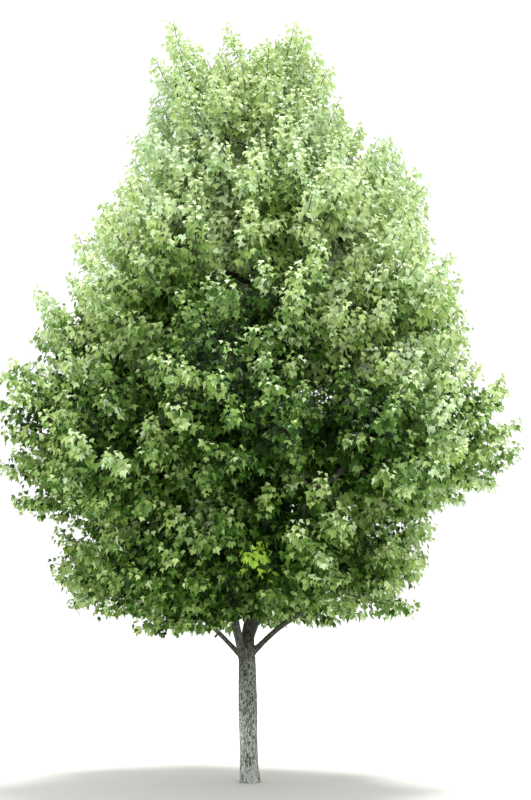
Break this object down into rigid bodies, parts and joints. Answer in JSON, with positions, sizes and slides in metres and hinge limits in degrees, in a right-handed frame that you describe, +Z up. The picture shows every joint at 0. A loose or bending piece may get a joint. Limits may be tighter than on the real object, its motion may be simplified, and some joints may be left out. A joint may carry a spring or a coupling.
{
  "type": "maple tree",
  "caption": "Young open-grown maple tree in full summer leaf, with one short clear trunk, ascending boughs and a broad oval crown of separate masses of foliage.",
  "frame": {"origin": "middle of the flat cut under the trunk, at ground level", "axes": "+Z up the trunk, +X to the right of the tree's front view, +Y to its back"},
  "size_m": [5.4958, 5.5201, 8.42],
  "materials": {
    "bark": "light grey bark with fine dark upright fissures",
    "bough_bark": "smoother, darker grey-brown bark of boughs and twigs",
    "foliage": "mid-green lobed leaves, paler yellow-green at the shoot tips"
  },
  "bodies": {
    "root": {"bough_back_left": "bough_bark", "bough_back_right": "bough_bark", "bough_front_right": "bough_bark", "bough_left": "bough_bark", "bough_left_front": "bough_bark", "bough_right": "bough_bark", "foliage_high_back": "foliage", "foliage_high_back_right": "foliage", "foliage_high_front": "foliage", "foliage_high_front_right": "foliage", "foliage_high_left": "foliage", "foliage_low_back": "foliage", "foliage_low_back_left": "foliage", "foliage_low_back_right": "foliage", "foliage_low_front": "foliage", "foliage_low_front_left": "foliage", "foliage_low_front_right": "foliage", "foliage_low_left": "foliage", "foliage_low_right": "foliage", "foliage_middle_back": "foliage", "foliage_middle_back_left": "foliage", "foliage_middle_back_right": "foliage", "foliage_middle_front": "foliage", "foliage_middle_front_left": "foliage", "foliage_middle_front_right": "foliage", "foliage_middle_left": "foliage", "foliage_skirt_back": "foliage", "foliage_skirt_back_left": "foliage", "foliage_skirt_back_right": "foliage", "foliage_skirt_front": "foliage", "foliage_skirt_front_left": "foliage", "foliage_skirt_front_right": "foliage", "foliage_skirt_left": "foliage", "foliage_top_left": "foliage", "foliage_top_middle": "foliage", "foliage_top_middle_left": "foliage", "foliage_top_middle_right": "foliage", "foliage_top_right": "foliage", "foliage_upper_back": "foliage", "foliage_upper_back_right": "foliage", "foliage_upper_front": "foliage", "foliage_upper_front_left": "foliage", "foliage_upper_left": "foliage", "foliage_upper_right": "foliage", "trunk": "bark"}
  },
  "joints": []
}
